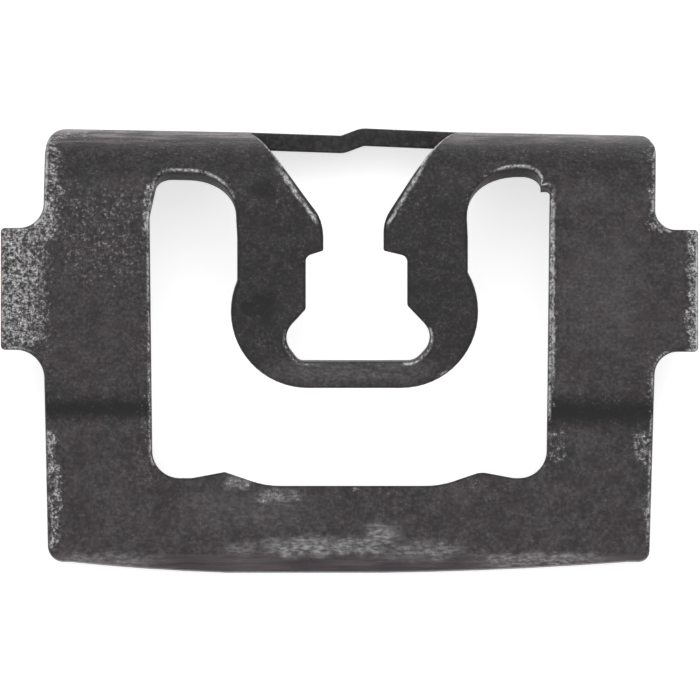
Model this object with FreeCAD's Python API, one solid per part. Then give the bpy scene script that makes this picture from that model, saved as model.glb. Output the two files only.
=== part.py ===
import FreeCAD, Part
import math
import os

Vector = FreeCAD.Vector
Placement = FreeCAD.Placement
Rotation = FreeCAD.Rotation
PlanePoint = FreeCAD.Base.Vector2d

# The clip is one folded sheet of spring steel, in millimetres. It is drawn with its front
# face in the XY plane, the folded flange at +Y and behind, and then laid down at rest.
SHEET = 0.8

# Plate: half widths are measured from the middle of the clip
PLATE_LEFT = -13.93
PLATE_RIGHT = 13.88
FOOT_LEFT_TAPER = 0.2
FOOT_RIGHT_TAPER = 0.27
FOOT_LEFT = PLATE_LEFT + FOOT_LEFT_TAPER
FOOT_RIGHT = PLATE_RIGHT - FOOT_RIGHT_TAPER
FOOT_HEIGHT = 0.43
FOOT_CORNER_RUN = 1.0
FOOT_LEFT_RADIUS = 0.72
FOOT_RIGHT_RADIUS = 0.48
FOOT_BOW = 0.49
FOOT_FLAT_LEFT = -5.6
FOOT_FLAT_RIGHT = 1.6
FOOT_LEFT_FULLNESS = 0.56
FOOT_RIGHT_FULLNESS = 0.62

# Top fold: each shoulder rolls back about its own line, a little out of square
FOLD_RADIUS = 4.0
FOLD_SKEW = 1.05
FOLD_HEIGHT = 15.98
FOLD_STEP = 0.18
LEFT_FOLD_HEIGHT = FOLD_HEIGHT - FOLD_STEP / 2
RIGHT_FOLD_HEIGHT = FOLD_HEIGHT + FOLD_STEP / 2

# Side ears and the fillets that carry them into the plate
EAR_REACH = 1.95
EAR_LEFT = PLATE_LEFT - EAR_REACH
EAR_RIGHT = PLATE_RIGHT + EAR_REACH
LEFT_EAR_DROP = 0.38
RIGHT_EAR_DROP = 0.47
EAR_WIDTH = 5.55
LEFT_EAR_TOP = FOLD_HEIGHT - LEFT_EAR_DROP
LEFT_EAR_FOOT = LEFT_EAR_TOP - EAR_WIDTH
RIGHT_EAR_TOP = FOLD_HEIGHT - RIGHT_EAR_DROP
RIGHT_EAR_FOOT = RIGHT_EAR_TOP - EAR_WIDTH
LEFT_EAR_TOP_FILLET = 1.12
RIGHT_EAR_TOP_FILLET = 0.93
LEFT_EAR_FOOT_FILLET = 1.3
RIGHT_EAR_FOOT_FILLET = 1.05
EAR_CORNER = 0.2

# Window round the tongue
LEG_WIDTH = 4.82
WINDOW_LEFT = PLATE_LEFT + LEG_WIDTH
WINDOW_RIGHT = PLATE_RIGHT - LEG_WIDTH
WINDOW_TAPER = 0.13
WINDOW_FOOT_LEFT = WINDOW_LEFT + WINDOW_TAPER
WINDOW_FOOT_RIGHT = WINDOW_RIGHT - WINDOW_TAPER
WINDOW_SILL = 3.87
WINDOW_CORNER_HEIGHT = 4.22
WINDOW_CORNER = 1.25
BUMP_LEFT = -5.7
BUMP_RIGHT = 5.95
BUMP_HEIGHT = 4.5
BUMP_RUN = 1.85
BUMP_SIDE_RUN = 1.5
BUMP_CREST = 1.0
BUMP_EASE = 4.0
LEFT_WINDOW_RISE = 2.26
RIGHT_WINDOW_RISE = 2.63
WINDOW_LEAN = 0.36
LEFT_WINDOW_TOP_CORNER = 0.75
RIGHT_WINDOW_TOP_CORNER = 0.87
RIGHT_WINDOW_LEDGE = 0.42
RIGHT_WINDOW_LEDGE_CORNER = 0.2
RIGHT_WINDOW_LEDGE_RISE = 1.66
LEFT_ROOT_RADIUS = 2.2
RIGHT_ROOT_RADIUS = 2.4

# Joggle that sets the lower plate back, as a shallow S in the side view
STEP_DROP = 6.83
STEP_TOP = FOLD_HEIGHT - STEP_DROP
STEP_UPPER_RADIUS = 5.6
STEP_LOWER_RADIUS = 3.7
STEP_ANGLE = 17.0

# Lip along the foot, turned back
LIP_TOP = 1.0
LIP_RADIUS = 1.0
LIP_ANGLE = 28.0

# Short fold that tips the tongue back below its two arm roots
TONGUE_TILT = 7.0
TONGUE_FOLD_DROP = 0.83
TONGUE_FOLD_HEIGHT = FOLD_HEIGHT - TONGUE_FOLD_DROP
TONGUE_ROOT_HEIGHT = TONGUE_FOLD_HEIGHT - FOLD_RADIUS * math.sin(math.radians(TONGUE_TILT))

# Mouth, barbs and stud pocket of the tongue
THROAT_LEFT = -1.21
THROAT_RIGHT = 1.52
LEAD_RADIUS = 2.1
LEAD_START = -0.7
LEFT_LEAD_ANGLE = 37.2
RIGHT_LEAD_ANGLE = 30.8
LEFT_SWEEP_RADIUS = 21.0
RIGHT_SWEEP_RADIUS = 50.0
THROAT_STRAIGHT = 0.11
BARB_HEIGHT = TONGUE_ROOT_HEIGHT - THROAT_STRAIGHT
BARB_TIP = 0.12
BARB_DROP = 0.28
BARB_FILLET = 0.32
POCKET_LEFT = -2.01
POCKET_RIGHT = 2.6
POCKET_DEPTH_LEFT = 2.67
POCKET_DEPTH_RIGHT = 2.5
POCKET_FOOT_LEFT = BARB_HEIGHT - POCKET_DEPTH_LEFT
POCKET_FOOT_RIGHT = BARB_HEIGHT - POCKET_DEPTH_RIGHT
POCKET_CORNER = 0.25
SLOT_LEFT = -3.18
SLOT_RIGHT = 3.98
SLOT_DEPTH = 3.95
SLOT_HALF_WIDTH = 1.1
SLOT_MIDDLE = BARB_HEIGHT - SLOT_DEPTH
SLOT_FOOT = SLOT_MIDDLE - SLOT_HALF_WIDTH
SLOT_FOOT_LEFT = -2.32
SLOT_FOOT_RIGHT = 2.93
SLOT_SIDE_RADIUS = 0.95
SLOT_FOOT_LEFT_RADIUS = 0.4
SLOT_FOOT_RIGHT_RADIUS = 0.75

# Outside of the tongue: a straight neck that opens into a round-bottomed loop
NECK_LEFT = -5.13
NECK_RIGHT = 5.36
NECK_ROOT_LEFT = -5.18
NECK_ROOT_RIGHT = 5.32
LOOP_RADIUS = 3.5
LEFT_BULGE = 0.29
RIGHT_BULGE = 0.47
LOOP_LEFT = NECK_LEFT - LEFT_BULGE + LOOP_RADIUS
LOOP_RIGHT = NECK_RIGHT + RIGHT_BULGE - LOOP_RADIUS
LOOP_DEPTH = 2.79
LOOP_MIDDLE = BARB_HEIGHT - LOOP_DEPTH

# Flange behind the fold, its swept rear corners and the strap that bridges the mouth
FLANGE_DEPTH = 2.6
FOLD_LENGTH = FOLD_RADIUS * math.pi / 2
LEFT_SWEPT_LENGTH = 5.73
RIGHT_SWEPT_LENGTH = 5.38
LEFT_SWEPT_START = FOLD_LENGTH + FLANGE_DEPTH - LEFT_SWEPT_LENGTH
RIGHT_SWEPT_START = FOLD_LENGTH + FLANGE_DEPTH - RIGHT_SWEPT_LENGTH
LEFT_SWEPT_RADIUS = 6.8
RIGHT_SWEPT_RADIUS = 7.2
STRAP_WIDTH = 2.0
STRAP_FRONT = FOLD_RADIUS + FLANGE_DEPTH - STRAP_WIDTH
STRAP_FILLET = 0.45
JOG_LEFT = -0.41
JOG_RIGHT = 0.5
JOG_SAG = 0.15
JOG_LIFT = 0.19
JOG_LOW = FOLD_HEIGHT + FOLD_RADIUS - JOG_SAG
JOG_HIGH = FOLD_HEIGHT + FOLD_RADIUS + JOG_LIFT
JOG_RADIUS = 0.25

# Thin end slices that find where the laid clip rests
REST_SLICE = 0.2

# Extra reach of a cutting body past what it cuts
CLEAR = 1.0

PLATE_TOP = max(LEFT_FOLD_HEIGHT, RIGHT_FOLD_HEIGHT) + CLEAR
SAMPLES = 8


def trace(corners):
    """Lines and arcs round a closed outline.

    A corner is (x, y) if sharp, (x, y, radius) if rounded, or (x, y, "via")
    for a point that the arc between its two neighbours passes through.
    """
    nodes = []
    vias = {}
    for corner in corners:
        if corner[-1] == "via":
            vias[len(nodes) - 1] = Vector(corner[0], corner[1], 0)
        else:
            nodes.append(corner)
    turns = []
    for index, node in enumerate(nodes):
        here = Vector(node[0], node[1], 0)
        if len(node) == 2:
            turns.append([here])
            continue
        before = nodes[index - 1]
        after = nodes[(index + 1) % len(nodes)]
        back = (Vector(before[0], before[1], 0) - here).normalize()
        ahead = (Vector(after[0], after[1], 0) - here).normalize()
        half = back.getAngle(ahead) / 2
        reach = node[2] / math.tan(half)
        crown = node[2] / math.sin(half) - node[2]
        middle = here + (back + ahead).normalize() * crown
        turns.append([here + back * reach, middle, here + ahead * reach])
    steps = []
    for index, turn in enumerate(turns):
        if len(turn) == 3:
            steps.append(turn)
        following = turns[(index + 1) % len(turns)][0]
        if index in vias:
            steps.append([turn[-1], vias[index], following])
        else:
            steps.append([turn[-1], following])
    return steps


def flat_piece(corners, thickness, place=Placement()):
    """Flat sheet inside an outline, its front face in the local XY plane."""
    edges = []
    for step in trace(corners):
        if len(step) == 3:
            edges.append(Part.Arc(*step).toShape())
        else:
            edges.append(Part.makeLine(*step))
    piece = Part.Face(Part.Wire(edges)).extrude(Vector(0, 0, -thickness))
    piece.Placement = place
    return piece


def unrolled_points(step):
    """Points along one line or arc of an outline, close enough to bend it."""
    if len(step) == 2:
        return step
    curve = Part.Arc(*step)
    first = curve.FirstParameter
    span = curve.LastParameter - first
    return [curve.value(first + span * i / SAMPLES) for i in range(SAMPLES + 1)]


def rolled_cutter(corners, place):
    """Cutting body for the fold, with radial walls.

    The outline is given on the unrolled sheet: x along the fold line, y up the sheet.
    """
    caps = []
    rings = []
    for radius in (FOLD_RADIUS + CLEAR, FOLD_RADIUS - SHEET - CLEAR):
        drum = Part.Cylinder()
        drum.Radius = radius
        ring = []
        for step in trace(corners):
            marks = [PlanePoint(p.y / FOLD_RADIUS, -p.x) for p in unrolled_points(step)]
            if len(marks) == 2:
                curve = Part.Geom2d.Line2dSegment(*marks)
            else:
                curve = Part.Geom2d.BSplineCurve2d()
                curve.interpolate(marks)
            ring.append(curve.toShape(drum))
        rings.append(ring)
        caps.append(Part.Face(Part.Wire(ring)))
    walls = [Part.makeRuledSurface(outer, inner) for outer, inner in zip(*rings)]
    shell = Part.makeShell(caps + walls)
    shell.sewShape()
    body = Part.makeSolid(shell)
    if body.Volume < 0:
        body.reverse()
    upright = FreeCAD.Matrix(0, 0, -1, 0, 0, 1, 0, 0, 1, 0, 0, -FOLD_RADIUS)
    body.Placement = place.multiply(Placement(upright))
    return body


def shoulder_place(fold_height):
    """Frame of a shoulder: X along its fold line, Y up the plate, Z forward."""
    return Placement(Vector(0, fold_height, 0), Rotation(Vector(0, 0, 1), -FOLD_SKEW))


def on_fold_line(place, x):
    point = place.multVec(Vector(x, 0, 0))
    return point.x, point.y


def mouth_edge(side, throat, lead_angle, sweep_radius):
    """Mouth edge on the unrolled sheet: the crossing of the fold line, the end of
    the lead-in, the middle of the sweep and the place where the flange starts."""
    lead = math.radians(lead_angle)

    def on_lead(turn):
        x = throat + side * LEAD_RADIUS * (1 - math.cos(turn))
        return x, LEAD_START + LEAD_RADIUS * math.sin(turn)

    crossing = on_lead(math.asin(-LEAD_START / LEAD_RADIUS))
    half_crossing = on_lead(math.asin(-LEAD_START / LEAD_RADIUS) / 2)
    half_lead = on_lead((math.asin(-LEAD_START / LEAD_RADIUS) + lead) / 2)
    lead_end = on_lead(lead)

    def on_sweep(height):
        sine = math.sin(lead) - (height - lead_end[1]) / sweep_radius
        x = lead_end[0] + side * sweep_radius * (math.sqrt(1 - sine ** 2) - math.cos(lead))
        return x, height

    sweep_end = on_sweep(FOLD_LENGTH + CLEAR)
    sweep_middle = on_sweep((lead_end[1] + sweep_end[1]) / 2)
    return {
        "crossing": crossing,
        "half_crossing": half_crossing,
        "half_lead": half_lead,
        "lead_end": lead_end,
        "sweep_middle": sweep_middle,
        "sweep_end": sweep_end,
        "flange_start": on_sweep(FOLD_LENGTH),
    }


def ear_fillet(side, plate_edge, ear_top, radius, place):
    """Upper ear fillet: where it meets the fold line, the plate edge and the ear."""
    centre = Vector(plate_edge + side * radius, ear_top + radius, 0)
    centre_up = place.inverse().multVec(centre)
    across = math.sqrt(radius ** 2 - centre_up.y ** 2)
    crossing = centre_up.x - side * across
    turn = math.asin(centre_up.y / radius)
    upper = (
        centre_up.x - side * radius * math.cos(turn / 2),
        centre_up.y - radius * math.sin(turn / 2),
    )
    low_turn = (turn + math.pi / 2) / 2
    lower = (
        centre.x - side * radius * math.cos(low_turn),
        centre.y - radius * math.sin(low_turn),
    )
    return {
        "crossing": crossing,
        "upper_via": upper,
        "plate": (centre_up.x - side * radius, centre_up.y),
        "lower_via": lower,
        "ear": (centre.x, ear_top),
    }


def swept(start, radius, height):
    """How far a swept rear corner has come in from the side at a height."""
    return radius - math.sqrt(radius ** 2 - (height - start) ** 2)


def shoulder(side, place, fillet, window, mouth, sweep_start, sweep_radius):
    """One shoulder of the top fold, with the window, mouth and outer side cut."""
    reach = abs(fillet["crossing"]) + CLEAR
    slab = Part.makeBox(reach, SHEET, SHEET, Vector(min(0, side * reach), 0, -SHEET))
    section = min(slab.Faces, key=lambda face: face.CenterOfMass.y)
    body = section.revolve(Vector(0, 0, -FOLD_RADIUS), Vector(-1, 0, 0), 90)
    body.Placement = place
    edge = fillet["plate"][0]
    past = edge + side * 2 * CLEAR
    low = fillet["crossing"]
    top = FOLD_LENGTH + CLEAR
    middle = (sweep_start + top) / 2
    outside = [
        (low, -CLEAR),
        (low, 0),
        (*fillet["upper_via"], "via"),
        fillet["plate"],
        (edge, sweep_start),
        (edge - side * swept(sweep_start, sweep_radius, middle), middle, "via"),
        (edge - side * swept(sweep_start, sweep_radius, top), top),
        (past, top),
        (past, -CLEAR),
    ]
    inside = [
        (mouth["crossing"][0], -CLEAR),
        mouth["crossing"],
        (*mouth["half_lead"], "via"),
        mouth["lead_end"],
        (*mouth["sweep_middle"], "via"),
        mouth["sweep_end"],
        (0, mouth["sweep_end"][1]),
        (0, -CLEAR),
    ]
    for outline in (outside, window, inside):
        body = body.cut(rolled_cutter(outline, place))
    return body


def flange(side, place, plate_edge, mouth, sweep_start, sweep_radius):
    """Flat flange behind one shoulder, in plan: x along the fold, y to the rear."""
    def side_edge(depth):
        return plate_edge - side * swept(sweep_start, sweep_radius, FOLD_LENGTH + depth)

    inner = mouth["flange_start"][0]
    outline = [
        (side_edge(0), 0),
        (side_edge(FLANGE_DEPTH / 2), FLANGE_DEPTH / 2, "via"),
        (side_edge(FLANGE_DEPTH), FLANGE_DEPTH),
        (inner, FLANGE_DEPTH),
        (inner, 0),
    ]
    behind = Placement(Vector(0, FOLD_RADIUS, -FOLD_RADIUS), Rotation(Vector(1, 0, 0), -90))
    return flat_piece(outline, SHEET, place.multiply(behind))


def mitred(before, here, after):
    """Point under a bend of the strap that keeps its thickness."""
    back = (here - before).normalize()
    ahead = (after - here).normalize()
    down = Vector(back.y, -back.x, 0) + Vector(ahead.y, -ahead.x, 0)
    down.normalize()
    half = back.getAngle(ahead) / 2
    return here + down * (SHEET / math.cos(half))


def strap(left_place, right_place, left_mouth, right_mouth):
    """Strap across the mouth, joggled in its middle, extruded from its front view."""
    left_x = left_mouth["flange_start"][0]
    right_x = right_mouth["flange_start"][0]
    top = [
        left_place.multVec(Vector(left_x, FOLD_RADIUS, 0)),
        Vector(JOG_LEFT, JOG_LOW, 0),
        Vector(JOG_RIGHT, JOG_HIGH, 0),
        right_place.multVec(Vector(right_x, FOLD_RADIUS, 0)),
    ]
    low_left = mitred(top[0], top[1], top[2])
    low_right = mitred(top[1], top[2], top[3])
    left_end = left_place.multVec(Vector(left_x, FOLD_RADIUS - SHEET, 0))
    right_end = right_place.multVec(Vector(right_x, FOLD_RADIUS - SHEET, 0))
    outline = [
        (top[0].x, top[0].y),
        (top[1].x, top[1].y, JOG_RADIUS),
        (top[2].x, top[2].y, JOG_RADIUS + SHEET),
        (top[3].x, top[3].y),
        (right_end.x, right_end.y),
        (low_right.x, low_right.y, JOG_RADIUS),
        (low_left.x, low_left.y, JOG_RADIUS + SHEET),
        (left_end.x, left_end.y),
    ]
    return flat_piece(outline, STRAP_WIDTH, Placement(Vector(0, 0, -STRAP_FRONT), Rotation()))


def strap_corner(whole, place, mouth):
    """Inner corner where the strap leaves the flange, through the sheet."""
    middle = Vector(mouth["flange_start"][0], FOLD_RADIUS - SHEET / 2, -STRAP_FRONT)
    middle = place.multVec(middle)
    return min(whole.Edges, key=lambda edge: edge.CenterOfMass.distanceToPoint(middle))


def side_profile():
    """Side view of the plate below the fold: x is height and y is depth."""
    step = math.radians(STEP_ANGLE)
    lip = math.radians(LIP_ANGLE)
    drop = (STEP_UPPER_RADIUS + STEP_LOWER_RADIUS) * math.sin(step)
    setback = (STEP_UPPER_RADIUS + STEP_LOWER_RADIUS) * (1 - math.cos(step))
    lip_run = (LIP_TOP - LIP_RADIUS * math.sin(lip) + FOOT_BOW) / math.cos(lip)

    def around(height, depth, radius, turn):
        return height - radius * math.sin(turn), depth + radius * math.cos(turn)

    def surface(under):
        upper = (STEP_TOP, -STEP_UPPER_RADIUS, STEP_UPPER_RADIUS - under)
        lower = (STEP_TOP - drop, STEP_LOWER_RADIUS - setback, -STEP_LOWER_RADIUS - under)
        hem = (LIP_TOP, -setback - LIP_RADIUS, LIP_RADIUS - under)
        lip_end = around(*hem, lip)
        return [
            (PLATE_TOP, -under),
            around(*upper, 0),
            (*around(*upper, step / 2), "via"),
            around(*upper, step),
            (*around(*lower, step / 2), "via"),
            around(*lower, 0),
            around(*hem, 0),
            (*around(*hem, lip / 2), "via"),
            lip_end,
            (lip_end[0] - lip_run * math.cos(lip), lip_end[1] - lip_run * math.sin(lip)),
        ]

    return surface(0) + surface(SHEET)[::-1]


def plate(left_place, right_place, left_fillet, right_fillet):
    """Legs, ears and foot: the side view drawn across, inside the front outline."""
    left_top = on_fold_line(left_place, left_fillet["crossing"])
    right_top = on_fold_line(right_place, right_fillet["crossing"])
    left_quarter = FOOT_HEIGHT - FOOT_BOW * FOOT_LEFT_FULLNESS
    right_quarter = FOOT_HEIGHT - FOOT_BOW * FOOT_RIGHT_FULLNESS
    outline = [
        left_top,
        (*left_fillet["lower_via"], "via"),
        left_fillet["ear"],
        (EAR_LEFT, LEFT_EAR_TOP, EAR_CORNER),
        (EAR_LEFT, LEFT_EAR_FOOT, EAR_CORNER),
        (PLATE_LEFT, LEFT_EAR_FOOT, LEFT_EAR_FOOT_FILLET),
        (FOOT_LEFT, FOOT_HEIGHT, FOOT_LEFT_RADIUS),
        (FOOT_LEFT + FOOT_CORNER_RUN, FOOT_HEIGHT),
        ((FOOT_LEFT + FOOT_FLAT_LEFT) / 2, left_quarter, "via"),
        (FOOT_FLAT_LEFT, FOOT_HEIGHT - FOOT_BOW),
        (FOOT_FLAT_RIGHT, FOOT_HEIGHT - FOOT_BOW),
        ((FOOT_RIGHT + FOOT_FLAT_RIGHT) / 2, right_quarter, "via"),
        (FOOT_RIGHT - FOOT_CORNER_RUN, FOOT_HEIGHT),
        (FOOT_RIGHT, FOOT_HEIGHT, FOOT_RIGHT_RADIUS),
        (PLATE_RIGHT, RIGHT_EAR_FOOT, RIGHT_EAR_FOOT_FILLET),
        (EAR_RIGHT, RIGHT_EAR_FOOT, EAR_CORNER),
        (EAR_RIGHT, RIGHT_EAR_TOP, EAR_CORNER),
        right_fillet["ear"],
        (*right_fillet["lower_via"], "via"),
        right_top,
        on_fold_line(right_place, WINDOW_RIGHT),
        (WINDOW_FOOT_RIGHT, WINDOW_CORNER_HEIGHT, WINDOW_CORNER),
        (BUMP_RIGHT + BUMP_SIDE_RUN, WINDOW_CORNER_HEIGHT, BUMP_CREST),
        (BUMP_RIGHT, BUMP_HEIGHT, BUMP_CREST),
        (BUMP_RIGHT - BUMP_RUN, WINDOW_SILL, BUMP_EASE),
        (BUMP_LEFT + BUMP_RUN, WINDOW_SILL, BUMP_EASE),
        (BUMP_LEFT, BUMP_HEIGHT),
        (BUMP_LEFT - BUMP_SIDE_RUN, WINDOW_CORNER_HEIGHT, BUMP_CREST),
        (WINDOW_FOOT_LEFT, WINDOW_CORNER_HEIGHT, WINDOW_CORNER),
        on_fold_line(left_place, WINDOW_LEFT),
    ]
    width = EAR_RIGHT - EAR_LEFT + 2 * CLEAR
    across = Placement(Vector(EAR_RIGHT + CLEAR, 0, 0), Rotation(Vector(1, 1, 1), 120))
    formed = flat_piece(side_profile(), width, across)
    front_view = flat_piece(outline, FOLD_HEIGHT, Placement(Vector(0, 0, CLEAR), Rotation()))
    return formed.common(front_view)


def arm_root(place, mouth, throat, neck_root, neck):
    """Flat root of one tongue arm, between the fold line and the tongue's own fold."""
    lead_foot = place.multVec(Vector(throat, LEAD_START, 0)).y
    via = place.multVec(Vector(*mouth["half_crossing"], 0))
    outline = [
        on_fold_line(place, neck_root),
        (neck, TONGUE_FOLD_HEIGHT),
        (throat, TONGUE_FOLD_HEIGHT),
        (throat, lead_foot),
        (via.x, via.y, "via"),
        on_fold_line(place, mouth["crossing"][0]),
    ]
    return flat_piece(outline, SHEET)


def arm_fold(throat, neck):
    """Short fold that tips the tongue back, across one arm."""
    left = min(throat, neck)
    slab = Part.makeBox(abs(throat - neck), SHEET, SHEET, Vector(left, TONGUE_FOLD_HEIGHT, -SHEET))
    section = min(slab.Faces, key=lambda face: face.CenterOfMass.y)
    return section.revolve(Vector(0, TONGUE_FOLD_HEIGHT, -FOLD_RADIUS), Vector(1, 0, 0), TONGUE_TILT)


def tongue():
    """Tongue below its fold: barbed throat, stud pocket, cross slot and round loop."""
    tilt = math.radians(TONGUE_TILT)
    root_depth = FOLD_RADIUS * (math.cos(tilt) - 1)

    def down(height):
        return (height - TONGUE_ROOT_HEIGHT) / math.cos(tilt)

    loop_middle = down(LOOP_MIDDLE)
    neck_left_foot = loop_middle + math.sqrt(LOOP_RADIUS ** 2 - (LOOP_LEFT - NECK_LEFT) ** 2)
    neck_right_foot = loop_middle + math.sqrt(LOOP_RADIUS ** 2 - (LOOP_RIGHT - NECK_RIGHT) ** 2)
    diagonal = LOOP_RADIUS * math.sqrt(0.5)
    barb_shoulder = down(BARB_HEIGHT - BARB_DROP)
    outline = [
        (NECK_LEFT, 0),
        (NECK_LEFT, neck_left_foot),
        (LOOP_LEFT - diagonal, loop_middle - diagonal, "via"),
        (LOOP_LEFT, loop_middle - LOOP_RADIUS),
        (LOOP_RIGHT, loop_middle - LOOP_RADIUS),
        (LOOP_RIGHT + diagonal, loop_middle - diagonal, "via"),
        (NECK_RIGHT, neck_right_foot),
        (NECK_RIGHT, 0),
        (THROAT_RIGHT, 0),
        (THROAT_RIGHT, down(BARB_HEIGHT), BARB_TIP),
        (POCKET_RIGHT, barb_shoulder, BARB_FILLET),
        (POCKET_RIGHT, down(POCKET_FOOT_RIGHT), POCKET_CORNER),
        (SLOT_RIGHT, down(SLOT_MIDDLE), SLOT_SIDE_RADIUS),
        (SLOT_FOOT_RIGHT, down(SLOT_FOOT), SLOT_FOOT_RIGHT_RADIUS),
        (SLOT_FOOT_LEFT, down(SLOT_FOOT), SLOT_FOOT_LEFT_RADIUS),
        (SLOT_LEFT, down(SLOT_MIDDLE), SLOT_SIDE_RADIUS),
        (POCKET_LEFT, down(POCKET_FOOT_LEFT), POCKET_CORNER),
        (POCKET_LEFT, barb_shoulder, BARB_FILLET),
        (THROAT_LEFT, down(BARB_HEIGHT), BARB_TIP),
        (THROAT_LEFT, 0),
    ]
    root = Vector(0, TONGUE_ROOT_HEIGHT, root_depth)
    place = Placement(root, Rotation(Vector(1, 0, 0), TONGUE_TILT))
    return flat_piece(outline, SHEET, place)


def lay_down(clip):
    """Rest the clip on its flange and its lip, front up, over the middle of its box."""
    box = clip.optimalBoundingBox()
    rear_slice = Part.makeBox(
        box.XLength, box.YLength, REST_SLICE, Vector(box.XMin, box.YMin, box.ZMin)
    )
    foot_slice = Part.makeBox(
        box.XLength, SHEET, box.ZLength, Vector(box.XMin, box.YMin, box.ZMin)
    )
    flange_edge = clip.common(rear_slice).optimalBoundingBox()
    lip_edge = clip.common(foot_slice).optimalBoundingBox()
    rise = lip_edge.ZMin - flange_edge.ZMin
    lean = math.degrees(math.atan2(rise, flange_edge.YMin - lip_edge.YMin))
    laid = clip.copy()
    laid.rotate(Vector(0, 0, 0), Vector(1, 0, 0), lean)
    box = laid.optimalBoundingBox()
    laid.translate(Vector(-box.Center.x, -box.Center.y, -box.ZMin))
    return laid


def molding_clip():
    """The whole clip as one folded sheet."""
    left_place = shoulder_place(LEFT_FOLD_HEIGHT)
    right_place = shoulder_place(RIGHT_FOLD_HEIGHT)
    left_fillet = ear_fillet(-1, PLATE_LEFT, LEFT_EAR_TOP, LEFT_EAR_TOP_FILLET, left_place)
    right_fillet = ear_fillet(1, PLATE_RIGHT, RIGHT_EAR_TOP, RIGHT_EAR_TOP_FILLET, right_place)
    left_mouth = mouth_edge(-1, THROAT_LEFT, LEFT_LEAD_ANGLE, LEFT_SWEEP_RADIUS)
    right_mouth = mouth_edge(1, THROAT_RIGHT, RIGHT_LEAD_ANGLE, RIGHT_SWEEP_RADIUS)
    left_window = [
        (NECK_ROOT_LEFT, -CLEAR),
        (NECK_ROOT_LEFT, LEFT_WINDOW_RISE, LEFT_ROOT_RADIUS),
        (WINDOW_LEFT + WINDOW_LEAN, LEFT_WINDOW_RISE, LEFT_WINDOW_TOP_CORNER),
        (WINDOW_LEFT, 0),
        (WINDOW_LEFT, -CLEAR),
    ]
    ledge = WINDOW_RIGHT - RIGHT_WINDOW_LEDGE
    right_window = [
        (NECK_ROOT_RIGHT, -CLEAR),
        (NECK_ROOT_RIGHT, RIGHT_WINDOW_RISE, RIGHT_ROOT_RADIUS),
        (ledge, RIGHT_WINDOW_RISE, RIGHT_WINDOW_TOP_CORNER),
        (ledge, RIGHT_WINDOW_LEDGE_RISE),
        (WINDOW_RIGHT, RIGHT_WINDOW_LEDGE_RISE, RIGHT_WINDOW_LEDGE_CORNER),
        (WINDOW_RIGHT, -CLEAR),
    ]
    left_side = shoulder(
        -1, left_place, left_fillet, left_window, left_mouth, LEFT_SWEPT_START, LEFT_SWEPT_RADIUS
    ).fuse(flange(-1, left_place, left_fillet["plate"][0], left_mouth, LEFT_SWEPT_START, LEFT_SWEPT_RADIUS))
    right_side = shoulder(
        1, right_place, right_fillet, right_window, right_mouth, RIGHT_SWEPT_START, RIGHT_SWEPT_RADIUS
    ).fuse(flange(1, right_place, right_fillet["plate"][0], right_mouth, RIGHT_SWEPT_START, RIGHT_SWEPT_RADIUS))
    arms = tongue()
    for place, mouth, throat, neck_root, neck in (
        (left_place, left_mouth, THROAT_LEFT, NECK_ROOT_LEFT, NECK_LEFT),
        (right_place, right_mouth, THROAT_RIGHT, NECK_ROOT_RIGHT, NECK_RIGHT),
    ):
        arms = arms.fuse(arm_fold(throat, neck))
        arms = arms.fuse(arm_root(place, mouth, throat, neck_root, neck))
    bridge = strap(left_place, right_place, left_mouth, right_mouth)
    whole = plate(left_place, right_place, left_fillet, right_fillet)
    whole = whole.multiFuse([left_side, right_side, bridge])
    whole = whole.fuse(arms).removeSplitter()
    corners = [
        strap_corner(whole, left_place, left_mouth),
        strap_corner(whole, right_place, right_mouth),
    ]
    return whole.makeFillet(STRAP_FILLET, corners)


os.makedirs("parts", exist_ok=True)
lay_down(molding_clip()).exportStep("parts/molding_clip.step")
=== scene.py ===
import math

import bmesh
import bpy
from mathutils import Matrix, Vector
from mathutils.geometry import intersect_point_line, normal


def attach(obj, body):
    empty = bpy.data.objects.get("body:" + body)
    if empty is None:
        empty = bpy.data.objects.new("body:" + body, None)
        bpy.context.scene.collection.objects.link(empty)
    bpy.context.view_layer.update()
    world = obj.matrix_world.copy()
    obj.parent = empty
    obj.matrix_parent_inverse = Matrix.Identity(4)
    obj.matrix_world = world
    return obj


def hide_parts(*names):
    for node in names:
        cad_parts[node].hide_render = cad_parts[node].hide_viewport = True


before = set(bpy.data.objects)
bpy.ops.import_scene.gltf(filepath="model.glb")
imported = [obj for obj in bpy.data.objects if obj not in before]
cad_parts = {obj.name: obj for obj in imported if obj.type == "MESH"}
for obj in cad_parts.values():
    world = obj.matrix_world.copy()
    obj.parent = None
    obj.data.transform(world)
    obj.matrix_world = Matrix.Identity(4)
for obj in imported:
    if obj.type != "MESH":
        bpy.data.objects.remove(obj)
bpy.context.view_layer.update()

MM = 0.001

# The plate's own frame, in millimetres: X to the right and Y up over the plate,
# with the origin on the middle line at the foot, and the front face at z = 0.
LEAN = math.radians(14.27226)
SHIFT = Vector((0.025, -10.65746, 1.70444))

# The rounding of the cut edges, in millimetres and in shares of one
WELD = 0.002
SHARP = math.radians(40)
FRONT_ROLL = 0.20
FOOT_ROLL = 0.08
FOOT_EDGE = 0.7
REAR_ROLL = 0.07
LEAST_RADIUS = 0.03
CLEAR_BORDER = 0.3
ROLL_STEPS = 6
SHARPEST_TURN = -0.5
KEPT_SHARE = 0.25
KEPT_FACING = 0.5
EASING = 0.8
EASING_ROUNDS = 20
RADIUS_SLOPE = 0.6

# How bright the rounded edge is painted at each step from the skin to the wall: partly wear,
# partly painted highlight
EDGE_WEAR_AND_HIGHLIGHT = (0.0, 0.4, 1.0, 0.5, 0.1, 0.0, 0.0)


def to_rest(point):
    """A point of the plate's own frame, in metres in the row frame."""
    turned = Matrix.Rotation(LEAN, 3, "X") @ Vector(point)
    return (turned + SHIFT) * MM


# The clip's mesh, with its punched edges rolled over

def is_sharp(edge):
    return len(edge.link_faces) == 2 and edge.calc_face_angle(0.0) > SHARP


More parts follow.
